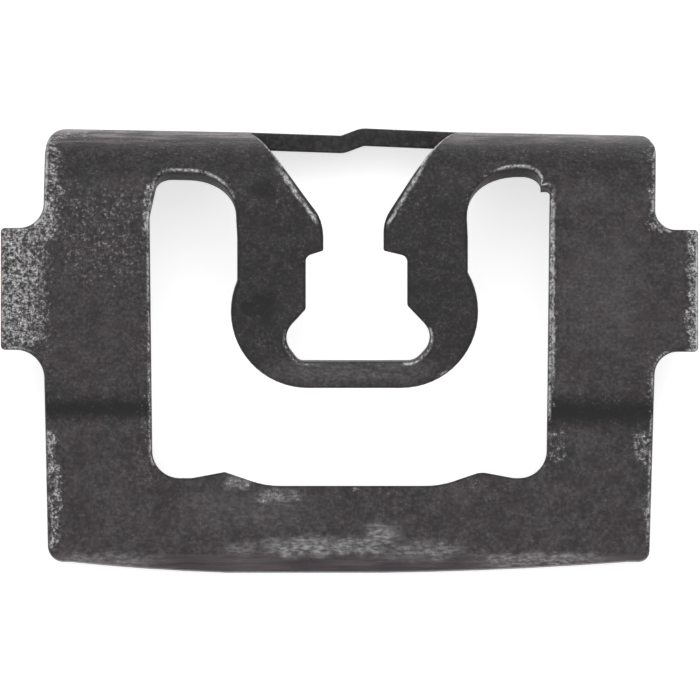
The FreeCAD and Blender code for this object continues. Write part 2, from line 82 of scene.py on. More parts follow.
def region_of(start, seen):
    """The faces that are reached from one face without crossing a sharp edge."""
    waiting = [start]
    found = []
    seen.add(start)
    while waiting:
        face = waiting.pop()
        found.append(face)
        for edge in face.edges:
            if is_sharp(edge):
                continue
            for other in edge.link_faces:
                if other not in seen:
                    seen.add(other)
                    waiting.append(other)
    return found


def area_of(faces):
    return sum(face.calc_area() for face in faces)


def height_of(faces):
    return sum(face.calc_center_median().z * face.calc_area() for face in faces) / area_of(faces)


def sides_of(mesh):
    """The front skin, the rear skin and the cut walls, each a set of faces."""
    seen = set()
    regions = []
    for face in mesh.faces:
        if face not in seen:
            regions.append(region_of(face, seen))
    regions.sort(key=area_of, reverse=True)
    rear, front = sorted(regions[:2], key=height_of)
    walls = [face for faces in regions[2:] for face in faces]
    return set(front), set(rear), set(walls)


def mean_normal(faces):
    total = Vector((0.0, 0.0, 0.0))
    for face in faces:
        total += face.normal * face.calc_area()
    return total.normalized()


def front_radius(point):
    """The foot's lower edge is crisper than the other front edges."""
    height = (Matrix.Rotation(-LEAN, 3, "X") @ (point / MM - SHIFT)).y
    return (FOOT_ROLL if height < FOOT_EDGE else FRONT_ROLL) * MM


def rear_radius(point):
    return REAR_ROLL * MM


def rim_edges(mesh, skin, walls):
    return [
        edge for edge in mesh.edges
        if any(face in skin for face in edge.link_faces)
        and any(face in walls for face in edge.link_faces)
    ]


def clear_border(mesh, skin, walls):
    """Dissolves a skin's inner vertices that stand closer to its rim than the rounding needs."""
    edges = rim_edges(mesh, skin, walls)
    on_rim = {vertex for edge in edges for vertex in edge.verts}
    crowded = []
    for vertex in mesh.verts:
        if vertex in on_rim or any(face not in skin for face in vertex.link_faces):
            continue
        for edge in edges:
            first, second = edge.verts[0].co, edge.verts[1].co
            share = intersect_point_line(vertex.co, first, second)[1]
            nearest = first.lerp(second, min(max(share, 0.0), 1.0))
            if (nearest - vertex.co).length < CLEAR_BORDER * MM:
                crowded.append(vertex)
                break
    bmesh.ops.dissolve_verts(mesh, verts=crowded)
    bmesh.ops.triangulate(mesh, faces=[face for face in mesh.faces if len(face.verts) > 3])


def rim_of(mesh, skin, walls):
    """For each vertex of a skin's rim its outward mitre and its normal, and the rim's edges."""
    rim = {}
    edges = rim_edges(mesh, skin, walls)
    beside = {}
    for edge in edges:
        for vertex in edge.verts:
            beside.setdefault(vertex, []).append(edge)
    for vertex, pair in beside.items():
        up = mean_normal([face for face in vertex.link_faces if face in skin])
        outward = []
        for edge in pair:
            wall = next(face for face in edge.link_faces if face in walls)
            flat = wall.normal - up * wall.normal.dot(up)
            outward.append(flat.normalized())
        turn = max(outward[0].dot(outward[1]), SHARPEST_TURN)
        mitre = (outward[0] + outward[1]) / (1.0 + turn)
        rim[vertex] = (mitre, up)
    return rim, edges


def wall_turns_over(face, rim, radii):
    """Whether a wall would turn over once its rim vertices are set in."""
    corners = [
        vertex.co - rim[vertex][1] * radii[vertex] if vertex in rim else vertex.co
        for vertex in face.verts
    ]
    return normal(corners).dot(face.normal) < KEPT_FACING


def shortens(edge, rim, radii):
    """Whether a rim edge would lose most of its length once it is set in."""
    first, second = edge.verts
    along = second.co - first.co
    inset = rim[second][0] * radii[second] - rim[first][0] * radii[first]
    return (along - inset).dot(along) < KEPT_SHARE * along.length_squared


def eased_radii(rim, edges, walls, radius_at):
    """The edge radius at each rim vertex, made smaller where the corner is too tight for it."""
    radii = {vertex: radius_at(vertex.co) for vertex in rim}
    beside = {face for vertex in rim for face in vertex.link_faces if face in walls}
    for _ in range(EASING_ROUNDS):
        tight = set()
        for edge in edges:
            if shortens(edge, rim, radii):
                tight.update(edge.verts)
        for face in beside:
            if wall_turns_over(face, rim, radii):
                tight.update(vertex for vertex in face.verts if vertex in rim)
        for vertex in tight:
            radii[vertex] = max(radii[vertex] * EASING, LEAST_RADIUS * MM)
        for edge in edges:
            first, second = edge.verts
            reach = edge.calc_length() * RADIUS_SLOPE
            radii[first] = min(radii[first], radii[second] + reach)
            radii[second] = min(radii[second], radii[first] + reach)
    return radii


def rearrange(mesh, skin, rim, radii):
    """Turns the long edges of skin triangles that the set-in rim has crossed."""
    places = {}
    ups = {}
    for vertex in mesh.verts:
        around = [face for face in vertex.link_faces if face in skin]
        if around:
            ups[vertex] = mean_normal(around)
            places[vertex] = vertex.co
            if vertex in rim:
                places[vertex] = vertex.co - rim[vertex][0] * radii[vertex]

    def length_of(edge):
        return (places[edge.verts[0]] - places[edge.verts[1]]).length

    def crossed(face):
        up = sum((ups[vertex] for vertex in face.verts), Vector((0.0, 0.0, 0.0)))
        return normal([places[vertex] for vertex in face.verts]).dot(up.normalized()) < KEPT_FACING

    for _ in range(EASING_ROUNDS):
        turned = [face for face in mesh.faces if face in skin and crossed(face)]
        if not turned:
            break
        for face in turned:
            if not face.is_valid:
                continue
            inner = [
                edge for edge in face.edges if all(other in skin for other in edge.link_faces)
            ]
            if not inner:
                continue
            longest = max(inner, key=length_of)
            old = list(longest.link_faces)
            made = bmesh.utils.edge_rotate(longest, True)
            if made is not None:
                skin.difference_update(old)
                skin.update(made.link_faces)


def rim_rows(rim, radii):
    """For each rim vertex, the points of its rounded edge from skin to wall."""
    rows = {}
    for vertex, (mitre, up) in rim.items():
        radius = radii[vertex]
        centre = vertex.co - (mitre + up) * radius
        rows[vertex] = []
        for step in range(ROLL_STEPS + 1):
            turn = math.pi / 2 * (1 - step / ROLL_STEPS)
            outward = mitre * math.cos(turn) + up * math.sin(turn)
            rows[vertex].append(centre + outward * radius)
    return rows


def add_rims(mesh, built):
    """Adds the rounded edges' vertices: each skin with its rows of vertices and its rim edges."""
    edge_layer = built.verts.layers.float.new("rolled")
    wall_layer = built.verts.layers.float.new("cut_wall")
    front, rear, walls = sides_of(mesh)
    rims = []
    for skin, radius_at in ((front, front_radius), (rear, rear_radius)):
        rim, edges = rim_of(mesh, skin, walls)
        radii = eased_radii(rim, edges, walls, radius_at)
        rearrange(mesh, skin, rim, radii)
        rows = {}
        for vertex, points in rim_rows(rim, radii).items():
            rows[vertex] = [built.verts.new(point) for point in points]
            for step, made in enumerate(rows[vertex]):
                made[edge_layer] = EDGE_WEAR_AND_HIGHLIGHT[step]
                made[wall_layer] = step / ROLL_STEPS
        rims.append((skin, rows, edges))
    return rims, walls


def add_sheet(mesh, built, rims, walls):
    """Adds the skins and the cut walls, joined to the rounded edges' first and last rows."""
    wall_layer = built.verts.layers.float["cut_wall"]
    inner = {}

    def made_for(vertex, face):
        for skin, rows, _ in rims:
            if vertex in rows:
                return rows[vertex][0] if face in skin else rows[vertex][-1]
        if vertex not in inner:
            inner[vertex] = built.verts.new(vertex.co)
            inner[vertex][wall_layer] = 1.0 if face in walls else 0.0
        return inner[vertex]

    for face in mesh.faces:
        built.faces.new([made_for(vertex, face) for vertex in face.verts])


def add_rolls(built, rims):
    """Adds the strips of faces along the rounded edges."""
    for skin, rows, edges in rims:
        for edge in edges:
            skin_face = next(face for face in edge.link_faces if face in skin)
            loop = next(loop for loop in skin_face.loops if loop.edge == edge)
            first, second = loop.vert, loop.link_loop_next.vert
            for step in range(ROLL_STEPS):
                built.faces.new((
                    rows[second][step], rows[first][step],
                    rows[first][step + 1], rows[second][step + 1],
                ))


def rolled_clip(source):
    """A copy of the clip with rounded front edges and broken rear edges."""
    mesh = bmesh.new()
    mesh.from_mesh(source.data)
    bmesh.ops.remove_doubles(mesh, verts=mesh.verts, dist=WELD * MM)
    mesh.normal_update()
    for side in (0, 1):
        sides = sides_of(mesh)
        clear_border(mesh, skin=sides[side], walls=sides[2])
        mesh.normal_update()
    built = bmesh.new()
    rims, walls = add_rims(mesh, built)
    add_sheet(mesh, built, rims, walls)
    add_rolls(built, rims)
    built.normal_update()
    for edge in built.edges:
        edge.smooth = not is_sharp(edge)
    for face in built.faces:
        face.smooth = True
    data = bpy.data.meshes.new("molding_clip_steel")
    built.to_mesh(data)
    built.free()
    mesh.free()
    return bpy.data.objects.new("molding_clip_steel", data)


# Materials

# The detail and roughness of the noise that moves outlines, and its middle value
WARP_DETAIL = (3.0, 0.5)
MIDDLE = (0.5, 0.5, 0.5)


def grey(level, warmth=0.035):
    """A linear grey with a little red and blue over its green."""
    return (level * (1 + warmth), level * (1 - warmth), level, 1.0)


class Nodes:
    """Adds nodes to one material's tree."""

    def __init__(self, material):
        material.use_nodes = True
        self.tree = material.node_tree
        self.shader = self.tree.nodes["Principled BSDF"]

    def put(self, socket, value):
        if isinstance(value, bpy.types.NodeSocket):
            self.tree.links.new(value, socket)
        else:
            socket.default_value = value

    def plate(self):
        """Object coordinates turned into the plate's own frame, in millimetres."""
        coordinates = self.tree.nodes.new("ShaderNodeTexCoord")
        mapping = self.tree.nodes.new("ShaderNodeMapping")
        back = Matrix.Rotation(-LEAN, 3, "X")
        mapping.inputs["Location"].default_value = -(back @ SHIFT)
        mapping.inputs["Rotation"].default_value = (-LEAN, 0.0, 0.0)
        mapping.inputs["Scale"].default_value = (1 / MM, 1 / MM, 1 / MM)
        self.put(mapping.inputs["Vector"], coordinates.outputs["Object"])
        return mapping.outputs["Vector"]

    def attribute(self, name):
        node = self.tree.nodes.new("ShaderNodeAttribute")
        node.attribute_name = name
        return node.outputs["Fac"]

    def stretched(self, place, scale):
        mapping = self.tree.nodes.new("ShaderNodeMapping")
        mapping.inputs["Scale"].default_value = scale
        self.put(mapping.inputs["Vector"], place)
        return mapping.outputs["Vector"]

    def turned(self, place, angle):
        """The place turned back by an angle about the plate's normal."""
        mapping = self.tree.nodes.new("ShaderNodeMapping")
        mapping.inputs["Rotation"].default_value = (0.0, 0.0, -angle)
        self.put(mapping.inputs["Vector"], place)
        return mapping.outputs["Vector"]

    def noise_node(self, place, scale, detail, roughness):
        node = self.tree.nodes.new("ShaderNodeTexNoise")
        node.inputs["Scale"].default_value = scale
        node.inputs["Detail"].default_value = detail
        node.inputs["Roughness"].default_value = roughness
        self.put(node.inputs["Vector"], place)
        return node

    def noise(self, place, scale, detail, roughness):
        return self.noise_node(place, scale, detail, roughness).outputs["Fac"]

    def vector_maths(self, operation, first):
        node = self.tree.nodes.new("ShaderNodeVectorMath")
        node.operation = operation
        self.put(node.inputs[0], first)
        return node

    def warped(self, place, amount, scale):
        """The place moved about by noise, so that a mask's outline isn't straight."""
        noise = self.noise_node(place, scale, *WARP_DETAIL)
        centred = self.vector_maths("SUBTRACT", noise.outputs["Color"])
        centred.inputs[1].default_value = MIDDLE
        scaled = self.vector_maths("SCALE", centred.outputs[0])
        scaled.inputs["Scale"].default_value = amount
        moved = self.vector_maths("ADD", place)
        self.put(moved.inputs[1], scaled.outputs[0])
        return moved.outputs[0]

    def maths(self, operation, first, second=0.0, third=None):
        node = self.tree.nodes.new("ShaderNodeMath")
        node.operation = operation
        self.put(node.inputs[0], first)
        self.put(node.inputs[1], second)
        if third is not None:
            self.put(node.inputs[2], third)
        return node.outputs[0]

    def times(self, first, second):
        return self.maths("MULTIPLY", first, second)

    def blend(self, first, second, shares):
        """A sum of two values, each with its share."""
        return self.maths("MULTIPLY_ADD", first, shares[0], self.times(second, shares[1]))

    def ramp(self, value, low, high, start=0.0, end=1.0):
        """A smooth step from start at low to end at high."""
        node = self.tree.nodes.new("ShaderNodeMapRange")
        node.interpolation_type = "SMOOTHSTEP"
        self.put(node.inputs["Value"], value)
        self.put(node.inputs["From Min"], low)
        self.put(node.inputs["From Max"], high)
        self.put(node.inputs["To Min"], start)
        self.put(node.inputs["To Max"], end)
        return node.outputs["Result"]

    def axes(self, place):
        node = self.tree.nodes.new("ShaderNodeSeparateXYZ")
        self.put(node.inputs[0], place)
        return node.outputs

    def patch(self, place, centre, half, soft):
        """1 inside a box about the centre, fading to 0 over soft millimetres."""
        axes = self.axes(place)
        inside = []
        for axis in (0, 1):
            away = self.maths("ABSOLUTE", self.maths("SUBTRACT", axes[axis], centre[axis]))
            inside.append(self.ramp(away, half[axis], half[axis] + soft[axis], start=1.0, end=0.0))
        return self.times(inside[0], inside[1])

    def slanted_patch(self, place, centre, angle, half, soft):
        """A patch whose box is turned by an angle."""
        turned_centre = Matrix.Rotation(-angle, 2) @ Vector(centre)
        return self.patch(self.turned(place, angle), turned_centre, half, soft)

    def most(self, masks):
        value = masks[0]
        for mask in masks[1:]:
            value = self.maths("MAXIMUM", value, mask)
        return value

    def patches(self, place, table):
        """The strongest of a table's patches at each point."""
        return self.most([
            self.times(self.patch(place, centre, half, soft), strength)
            for centre, half, soft, strength in table
        ])

    def mix(self, factor, first, second):
        node = self.tree.nodes.new("ShaderNodeMix")
        node.data_type = "RGBA"
        self.put(node.inputs["Factor"], factor)
        self.put(node.inputs["A"], first)
        self.put(node.inputs["B"], second)
        return node.outputs["Result"]

    def bump(self, height, distance):
        node = self.tree.nodes.new("ShaderNodeBump")
        node.inputs["Strength"].default_value = 1.0
        node.inputs["Distance"].default_value = distance * MM
        self.put(node.inputs["Height"], height)
        return node.outputs["Normal"]


# Each patch below has a centre, a half size and a softness, in millimetres, and
# in the tables also a strength

# The foot's lip and the top fold, whose light streaks are partly a painted sheen
LIP = ((0.0, -1.0), (14.0, 1.62), (0.1, 0.2))
FOLD = ((0.0, 21.2), (14.0, 1.2), (1.0, 0.8))

# Shaded places with a clear outline: the two creases and the foot of the fold
CLEAR_SHADES = (
    ((-11.5, 7.4), (4.2, 0.05), (0.3, 0.85), 0.95),
    ((11.5, 7.2), (4.2, 0.1), (0.3, 1.0), 0.95),
    ((0.0, 18.7), (14.0, 0.4), (0.5, 0.7), 0.3),
)

# Shaded places with a loose outline: the tongue and darker places on it
LOOSE_SHADES = (
    ((0.0, 13.6), (5.6, 3.6), (1.0, 1.2), 0.5),
    ((-3.9, 17.3), (0.4, 0.2), (0.7, 0.6), 0.9),
    ((-4.0, 12.0), (0.5, 0.3), (0.7, 0.7), 0.9),
    ((3.3, 13.0), (0.3, 0.4), (0.7, 0.9), 0.6),
)

# Places of wear on the plate, and a painted highlight along the right ear's rim
WORN_AND_PAINTED_HIGHLIGHT_PLACES = (
    ((-15.7, 12.9), (0.7, 2.1), (2.9, 1.7), 1.0),
    ((-13.9, 17.7), (0.1, 2.3), (1.5, 1.2), 1.0),
    ((-12.9, 20.0), (0.6, 0.1), (1.4, 0.6), 0.8),
    ((-13.8, 5.0), (0.1, 5.0), (0.7, 0.8), 0.4),
    ((-13.7, 5.4), (0.15, 0.8), (0.5, 0.6), 0.95),
    ((-13.5, 3.8), (0.2, 0.9), (0.5, 0.5), 0.8),
    ((-13.6, 2.2), (0.15, 0.9), (0.5, 0.6), 0.95),
    ((-11.3, 15.3), (1.2, 1.4), (2.2, 2.4), 0.55),
    ((-9.2, 10.5), (0.1, 5.8), (1.3, 1.4), 0.45),
    ((-9.15, 16.5), (0.1, 0.9), (0.4, 0.5), 1.0),
    ((-5.1, 4.05), (0.4, 0.15), (0.5, 0.35), 0.75),
    ((-3.3, 3.4), (0.8, 0.1), (0.7, 0.3), 0.7),
    ((-3.3, 18.1), (0.05, 0.3), (0.3, 0.5), 0.6),
    ((0.0, 19.3), (13.0, 0.35), (0.6, 0.5), 0.38),
    ((-7.3, 18.7), (1.0, 0.05), (0.8, 0.3), 0.4),
    ((7.6, 18.6), (1.0, 0.05), (0.8, 0.3), 0.35),
    ((0.2, 3.7), (0.1, 0.05), (0.3, 0.15), 0.9),
    ((9.1, 12.2), (0.1, 4.4), (0.4, 0.8), 0.7),
    ((9.3, 5.7), (0.4, 0.5), (0.8, 0.8), 0.6),
    ((13.3, 5.6), (0.2, 0.5), (0.6, 0.6), 0.75),
    ((13.7, 5.0), (0.1, 4.5), (0.4, 1.0), 0.5),
    ((13.65, 2.3), (0.15, 0.6), (0.4, 0.5), 0.95),
    ((0.5, 3.6), (2.6, 0.1), (1.0, 0.3), 0.38),
    ((6.3, 3.9), (0.8, 0.1), (0.8, 0.3), 0.42),
    ((13.6, 19.0), (0.1, 0.3), (0.4, 0.5), 0.6),
    ((13.8, 16.5), (0.05, 0.8), (0.5, 0.7), 0.85),
    ((14.2, 15.5), (0.3, 0.05), (0.6, 0.4), 0.75),
    # painted highlight along the right ear's rim, laid on with the wear speckle
    ((15.75, 12.8), (0.2, 2.6), (0.5, 0.5), 1.0),
    ((-2.9, 17.4), (0.4, 0.6), (0.6, 0.8), 0.4),
    ((2.6, 17.2), (0.4, 0.8), (0.6, 0.8), 0.4),
)

# Places along the foot where the coating is abraded through in streaks, and painted light on the
# tongue's crossbar
RUBBED_AND_PAINTED_LIGHT_PLACES = (
    ((-4.9, 1.0), (0.1, 0.05), (1.2, 0.45), 0.5),
    ((-2.2, 1.1), (0.6, 0.15), (1.6, 0.45), 1.0),
    ((0.2, 1.15), (0.5, 0.1), (1.6, 0.5), 0.95),
    ((1.5, 1.7), (0.1, 0.1), (1.0, 0.6), 1.0),
    ((3.3, 0.9), (0.6, 0.1), (1.9, 0.5), 0.7),
    ((8.6, 0.5), (1.2, 0.1), (2.6, 0.4), 0.85),
    ((-11.0, 0.5), (0.8, 0.1), (2.2, 0.35), 0.6),
    ((-5.1, 4.0), (0.1, 0.05), (0.9, 0.5), 0.55),
    ((-3.3, 3.4), (0.2, 0.05), (1.3, 0.45), 0.65),
    ((-4.2, 2.8), (1.2, 0.3), (3.0, 1.0), 0.15),
    ((11.5, 12.6), (0.8, 0.8), (1.6, 2.6), 0.1),
    # painted light on the tongue's crossbar, laid on as a lighter scuffed tone
    ((0.0, 9.2), (2.2, 0.2), (1.6, 0.6), 0.22),
)

# Stretches of rolled edge painted bright: partly wear through the coating, partly painted
# highlight
BRIGHT_EDGES = (
    ((-13.9, 17.0), (0.5, 2.4), (0.5, 0.8), 1.0),
    ((-15.4, 12.9), (1.6, 3.0), (0.5, 0.5), 0.7),
    ((-9.2, 11.0), (0.6, 6.0), (0.5, 0.8), 0.8),
    ((-6.9, 18.3), (1.1, 0.6), (0.6, 0.5), 1.0),
    ((-8.5, 18.0), (0.6, 0.7), (0.3, 0.3), 0.55),
    ((-5.6, 17.6), (0.3, 0.5), (0.5, 0.5), 0.6),
    ((-3.6, 19.2), (0.6, 0.7), (0.4, 0.4), 0.9),
    ((3.9, 19.3), (0.7, 0.7), (0.4, 0.4), 1.3),
    ((13.9, 16.3), (0.5, 1.0), (0.5, 0.5), 0.8),
    ((-2.7, 10.0), (0.8, 0.9), (0.4, 0.4), 0.6),
    ((3.4, 10.0), (0.8, 0.9), (0.4, 0.4), 1.1),
    ((7.5, 18.6), (0.7, 0.5), (0.7, 0.4), 1.0),
    ((5.9, 18.0), (0.5, 0.9), (0.5, 0.5), 0.5),
    ((8.8, 18.0), (0.3, 0.4), (0.3, 0.3), 1.15),
    ((9.1, 12.0), (0.5, 4.9), (0.4, 0.8), 0.9),
    ((13.9, 5.5), (0.5, 5.0), (0.4, 0.8), 0.7),
    ((15.9, 12.8), (0.5, 3.0), (0.4, 0.5), 1.0),
    ((13.7, 19.0), (0.6, 0.8), (0.4, 0.5), 0.9),
)

# Painted highlights in streaks beside the mouth's slanted edges and the right window's
# outer edge: centre, angle in degrees, half length and width, softness, and strength
PAINTED_HIGHLIGHT_STREAKS = (
    ((-2.40, 17.12), -54.5, (1.2, 0.03), (0.6, 0.11), 1.0),
    ((2.54, 17.12), 58.4, (1.35, 0.02), (0.5, 0.10), 1.0),
    ((9.24, 13.0), 90.0, (3.2, 0.02), (1.6, 0.08), 0.8),
)

# Noises: scale, detail and roughness
CLOUDS = (0.45, 4.0, 0.6)
BROWNING = (0.7, 3.0, 0.5)
RUNS = (1.1, 3.0, 0.6)
MOTTLE = (1.5, 4.0, 0.65)
CLUMPS = (2.6, 3.0, 0.6)
GRAIN = (6.0, 2.0, 0.6)
DASHES = (8.0, 3.0, 0.7)
FINE = (11.0, 2.0, 0.6)

# Drawn-out noises: their scale along each axis, then scale, detail and roughness
LIP_GRAIN = ((0.35, 4.5, 4.5), (1.0, 4.0, 0.6))
FOLD_GRAIN = ((0.5, 6.0, 1.2), (1.0, 4.0, 0.65))
SCUFFS = ((3.2, 8.0, 8.0), (1.0, 4.0, 0.7))

# How far outlines are moved about, in millimetres, and the scale of that noise
LOOSE = (1.6, 1.1)
GENTLE = (0.8, 1.6)
SLIGHT = (0.25, 2.5)

# Smooth steps: where each begins and ends, and its value at both ends
ON_SKIN = (0.0, 0.5, 1.0, 0.0)
ON_FRONT = (-4.5, -4.1, 0.0, 1.0)
ON_REAR = (-4.5, -4.1, 1.0, 0.0)
ON_FOLD = (-4.4, -4.0, 0.0, 1.0)
REAR_SHADE = (0.35, 0.65, 0.8, 0.25)
TONE = (0.85, 1.6, 0.0, 1.0)
BROWNED = (0.4, 0.6, 0.0, 1.0)
FLECKED = (0.48, 0.70, 0.0, 1.0)
FLECKS_SCATTERED = (0.40, 0.66, 0.15, 0.8)
FLECKS_SHADED = (0.4, 1.0, 1.0, 0.2)
WEAR_AND_HIGHLIGHT_OFF_LIP = (0.0, 1.0, 1.0, 0.15)
WEAR_AND_HIGHLIGHT_CLUMPED = (0.36, 0.58, 0.6, 1.0)
SPECKLE_BEGINS = (0.0, 1.0, 0.62, 0.42)
SPECKLE_STRENGTH = (0.1, 0.9, 0.25, 1.0)
SPECKLE_OFF_WALL = (0.0, 0.6, 1.0, 0.3)
PITTED = (0.40, 0.50, 0.85, 0.0)
WORN_THIN_AND_PAINTED_HIGHLIGHT = (0.4, 1.0, 0.0, 0.9)
LIP_TONE = (0.3, 0.7, 0.0, 1.0)
FOLD_STREAKS_AND_SHEEN_STEP = (0.44, 0.64, 0.0, 0.9)
FOLD_DULLED = (0.36, 0.48, 0.6, 0.0)
SCUFFED = (0.36, 0.76, 0.0, 1.0)
EDGE_BARED_AND_HIGHLIT = (0.58, 0.82, 0.0, 1.0)
EDGE_OFF_LIP = (0.0, 1.0, 1.0, 0.2)
STREAK_DASHED = (0.36, 0.58, 0.2, 1.0)
STREAK_CLUMPED = (0.38, 0.60, 0.4, 1.0)
ROUGHENED = (0.3, 0.7, 0.35, 0.49)

# Shares of a noise, or of a layer's cover
CLOUD_SHARE = 0.4
FLECK_SHARES = (0.6, 0.4)
DOT_SHARES = (0.45, 0.55)
SPECKLE_SPREAD = 0.30
LIP_COVER = 0.85
RUBBED_AND_PAINTED_LIGHT_COVER = 0.5
BRIGHT_EDGE_SHARE = 0.20
EDGE_SHARES = (0.4, 0.6)
CRYSTAL_SHARE = 0.4

# Linear greys of the coating, of what lies under it, of uncoated steel, and of the painted shade
# and painted highlights
COATING = 0.034
DARK_TONE = COATING * 0.52
LIGHT_TONE = COATING * 1.66
NEUTRAL = (grey(DARK_TONE, 0.04), grey(LIGHT_TONE, 0.04))
BROWN = (grey(DARK_TONE, 0.09), grey(LIGHT_TONE, 0.09))
SHADED = grey(COATING * 0.12)
FLECK = grey(0.10, 0.0)
THINNED_AND_PAINTED_HIGHLIGHT = grey(0.13)
PIT = grey(0.010)
BARE_STEEL_AND_HIGHLIGHT = grey(0.75, 0.0)
PAINTED_HIGHLIGHT_GREY = grey(0.6, 0.0)
LIP_STEEL = (grey(0.035, 0.12), grey(0.095, 0.08))
FOLD_STREAK_AND_SHEEN = grey(0.24, 0.07)
FOLD_DULL = grey(0.012)
RUBBED_AND_PAINTED_LIGHT = grey(0.12, 0.03)
SCUFF_AND_PAINTED_LIGHT = grey(0.38, 0.01)

# The coating's gloss and the height of its crystals in millimetres
SPECULAR_LEVEL = 0.22
CRYSTAL_HEIGHT = 0.03

# How much more the large faces count where the shading is evened out
SHADING_WEIGHT = 50


class ClipSteel(Nodes):
    """Dark phosphate-coated steel with light crystals and patches of wear, with painted shade and
    painted highlights.
    """

    def __init__(self, material):
        super().__init__(material)
        place = self.plate()
        self.place = place
        self.gentle = self.warped(place, *GENTLE)
        self.cut_wall = self.attribute("cut_wall")
        self.skin = self.ramp(self.cut_wall, *ON_SKIN)
        self.depth = self.axes(place)[2]
        self.lip = self.patch(place, *LIP)
        self.clumps = self.noise(place, *CLUMPS)
        self.mottle = self.noise(place, *MOTTLE)
        self.grain = self.noise(place, *GRAIN)
        self.fine = self.noise(place, *FINE)
        self.dashes = self.noise(place, *DASHES)

    def drawn_out(self, stretch, settings):
        """Noise that is longer along some axes than along others."""
        return self.noise(self.stretched(self.place, stretch), *settings)

    def shade(self):
        """The painted shade on the tongue, the creases, the rear and the foot of the fold."""
        rear = self.times(self.ramp(self.depth, *ON_REAR), self.ramp(self.mottle, *REAR_SHADE))
        return self.most([
            self.patches(self.warped(self.place, *LOOSE), LOOSE_SHADES),
            self.patches(self.place, CLEAR_SHADES),
            rear,
        ])

    def coated(self, shade):
        """The coating's mottled greys and browns, darkened by the painted shade, with light
        crystal flecks.
        """
        clouds = self.noise(self.place, *CLOUDS)
        mottled = self.maths("ADD", self.grain, self.mottle)
        tone = self.ramp(self.maths("MULTIPLY_ADD", clouds, CLOUD_SHARE, mottled), *TONE)
        browned = self.ramp(self.noise(self.place, *BROWNING), *BROWNED)
        colour = self.mix(browned, self.mix(tone, *NEUTRAL), self.mix(tone, *BROWN))
        # painted shade: the tongue, the creases, the rear and the foot of the fold are darkened
        # here
        colour = self.mix(shade, colour, SHADED)
        flecks = self.ramp(self.blend(self.fine, self.grain, FLECK_SHARES), *FLECKED)
        scattered = self.times(self.ramp(self.mottle, *FLECKS_SCATTERED), self.skin)
        flecks = self.times(flecks, scattered)
        flecks = self.times(flecks, self.ramp(shade, *FLECKS_SHADED))
        return self.mix(flecks, colour, FLECK)

    def wear_and_painted_highlight(self, colour):
        """Thinned coating with dark pits and bright speckle at the places of wear; along the right
        ear's rim the same marks are a painted highlight.
        """
        density = self.patches(self.gentle, WORN_AND_PAINTED_HIGHLIGHT_PLACES)
        density = self.times(density, self.ramp(self.lip, *WEAR_AND_HIGHLIGHT_OFF_LIP))
        clumped = self.times(density, self.ramp(self.clumps, *WEAR_AND_HIGHLIGHT_CLUMPED))
        dots = self.blend(self.fine, self.grain, DOT_SHARES)
        begins = self.ramp(clumped, *SPECKLE_BEGINS)
        speckle = self.ramp(dots, begins, self.maths("ADD", begins, SPECKLE_SPREAD))
        speckle = self.times(speckle, self.ramp(clumped, *SPECKLE_STRENGTH))
        speckle = self.times(speckle, self.ramp(self.cut_wall, *SPECKLE_OFF_WALL))
        pits = self.times(density, self.ramp(dots, *PITTED))
        colour = self.mix(self.ramp(clumped, *WORN_THIN_AND_PAINTED_HIGHLIGHT), colour, THINNED_AND_PAINTED_HIGHLIGHT)
        colour = self.mix(pits, colour, PIT)
        return self.mix(speckle, colour, BARE_STEEL_AND_HIGHLIGHT)

    def smoothed(self, colour):
        """The foot lip's smooth brownish steel and the fold's streaky top, whose light streaks are
        partly real and partly a painted sheen.
        """
        smooth_steel = self.mix(self.ramp(self.drawn_out(*LIP_GRAIN), *LIP_TONE), *LIP_STEEL)
        colour = self.mix(self.times(self.lip, LIP_COVER), colour, smooth_steel)
        fold = self.times(self.patch(self.place, *FOLD), self.ramp(self.depth, *ON_FOLD))
        brushed = self.drawn_out(*FOLD_GRAIN)
        # painted sheen: the fold's top is lightened in streaks, partly real and partly painted
        # highlight
        bright = self.times(fold, self.ramp(brushed, *FOLD_STREAKS_AND_SHEEN_STEP))
        dull = self.times(fold, self.ramp(brushed, *FOLD_DULLED))
        colour = self.mix(bright, colour, FOLD_STREAK_AND_SHEEN)
        return self.mix(dull, colour, FOLD_DULL)

    def rubbed_and_painted_light(self, colour):
        """The places along the foot where the coating is abraded through in streaks, and the
        painted light on the tongue's crossbar.
        """
        rubbed_and_painted_light = self.patches(self.gentle, RUBBED_AND_PAINTED_LIGHT_PLACES)
        scuffs_and_painted_light = self.times(rubbed_and_painted_light, self.ramp(self.drawn_out(*SCUFFS), *SCUFFED))
        colour = self.mix(self.times(rubbed_and_painted_light, RUBBED_AND_PAINTED_LIGHT_COVER), colour, RUBBED_AND_PAINTED_LIGHT)
        return self.mix(scuffs_and_painted_light, colour, SCUFF_AND_PAINTED_LIGHT)

    def bare_and_highlit_edges(self, colour):
        """Broken bright lines along the rolled edges: partly uncoated steel from wear, partly
        painted highlight.
        """
        strong = self.patches(self.place, BRIGHT_EDGES)
        strong = self.times(strong, self.ramp(self.depth, *ON_FRONT))
        broken = self.blend(self.noise(self.place, *RUNS), self.dashes, EDGE_SHARES)
        bare_and_highlit = self.maths("MULTIPLY_ADD", strong, BRIGHT_EDGE_SHARE, broken)
        bare_and_highlit = self.times(self.ramp(bare_and_highlit, *EDGE_BARED_AND_HIGHLIT), self.ramp(self.lip, *EDGE_OFF_LIP))
        # painted highlight: the rolled edges are lightened in broken lines, partly as wear
        return self.mix(self.times(self.attribute("rolled"), bare_and_highlit), colour, BARE_STEEL_AND_HIGHLIGHT)

    def add_painted_highlights(self, colour):
        """Painted highlights in streaks on the skin beside some of the cut edges."""
        slight = self.warped(self.place, *SLIGHT)
        streaks = []
        for centre, angle, half, soft, strength in PAINTED_HIGHLIGHT_STREAKS:
            along = self.slanted_patch(slight, centre, math.radians(angle), half, soft)
            streaks.append(self.times(along, strength))
